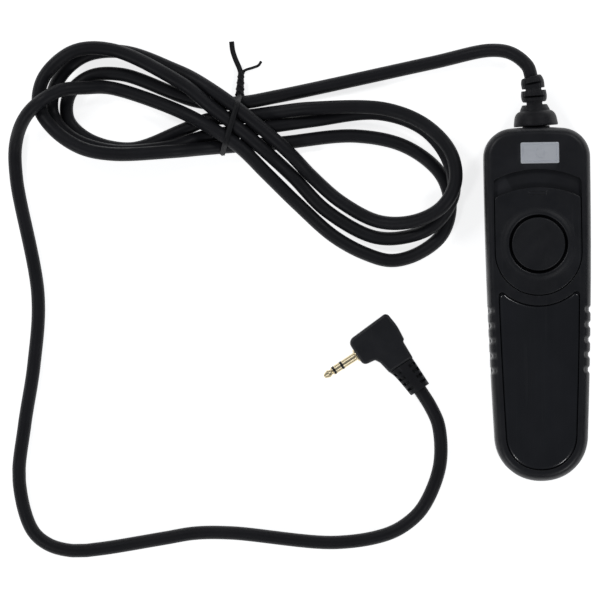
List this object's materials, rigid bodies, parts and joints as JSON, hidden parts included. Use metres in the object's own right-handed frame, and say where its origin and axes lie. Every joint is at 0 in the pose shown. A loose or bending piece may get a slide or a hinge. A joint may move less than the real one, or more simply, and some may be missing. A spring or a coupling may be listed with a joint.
{
  "type": "cable shutter release",
  "caption": "Handheld wired shutter release with a round button on a lock slider, ribbed strain relief, thin cord tied in a hank and a right-angle three-pole plug.",
  "frame": {"origin": "middle of the handle's footprint on the surface it lies on", "axes": "+Z out of the button face, +Y along the handle to the cord end, +X to the right as seen from the button side"},
  "size_m": [0.1712, 0.1518, 0.0182],
  "materials": {
    "cover_plastic": "satin, fine moulded grain",
    "slider_plastic": "satin",
    "grip_plastic": "semi-gloss",
    "button_plastic": "satin",
    "badge_metal": "fine brushed, engraved border",
    "steel": "zinc plated",
    "natural_plastic": "plain",
    "clamp_plastic": "plain",
    "board_laminate": "solder mask",
    "contact_metal": "polished spring metal",
    "solder": "bright",
    "wire_red": "insulated",
    "wire_white": "insulated",
    "wire_brown": "insulated",
    "cord_jacket": "matte jacket",
    "boot_rubber": "satin moulded",
    "plug_plastic": "satin moulded",
    "plug_gold": "gold plated, polished",
    "plug_insulator": "gloss",
    "tie_plastic": "coated wire"
  },
  "bodies": {
    "handle": {"bottom_cover": "cover_plastic", "top_cover": "cover_plastic", "grip_panel": "grip_plastic", "badge": "badge_metal", "cover_screws": "steel", "latch_plate": "steel", "latch_screws": "steel", "detent_spring": "steel", "circuit_board": "board_laminate", "board_screws": "steel", "common_bracket": "contact_metal", "focus_contact": "contact_metal", "shutter_contact": "contact_metal", "contact_rivets": "contact_metal", "wire_focus": "wire_red", "wire_shutter": "wire_white", "wire_ground": "wire_brown", "solder_joints": "solder", "cable_clamp": "clamp_plastic", "clamp_screws": "steel", "cable_end": "cord_jacket", "strain_relief": "boot_rubber", "cord": "cord_jacket", "twist_tie": "tie_plastic", "plug_body": "plug_plastic", "plug_boot": "boot_rubber", "plug_collar": "plug_gold", "plug_sleeve": "plug_gold", "plug_ring": "plug_gold", "plug_tip": "plug_gold", "plug_insulators": "plug_insulator"},
    "slider": {"lock_slider": "slider_plastic", "keeper_ring": "natural_plastic", "return_spring": "steel"},
    "button": {"shutter_button": "button_plastic", "button_plunger": "natural_plastic"},
    "leaf": {"common_leaf": "contact_metal"}
  },
  "joints": [
    {"name": "lock_slide", "type": "slide", "parent": "handle", "child": "slider", "axis": [0, 1, 0], "range_m": [0, 0.004]},
    {"name": "button_press", "type": "slide", "parent": "slider", "child": "button", "axis": [0, 0, -1], "range_m": [0, 0.002], "stiffness_N_per_m": 1000, "springref_m": -0.001, "deforming": ["return_spring"]},
    {"name": "leaf_flex", "type": "hinge", "parent": "handle", "child": "leaf", "pos_m": [0, -0.008, 0.00675], "axis": [-1, 0, 0], "range_deg": [0, 4.6]}
  ],
  "couplings": [
    {"joint": "leaf_flex", "follows": "button_press", "rad_per_m": 39.1}
  ]
}
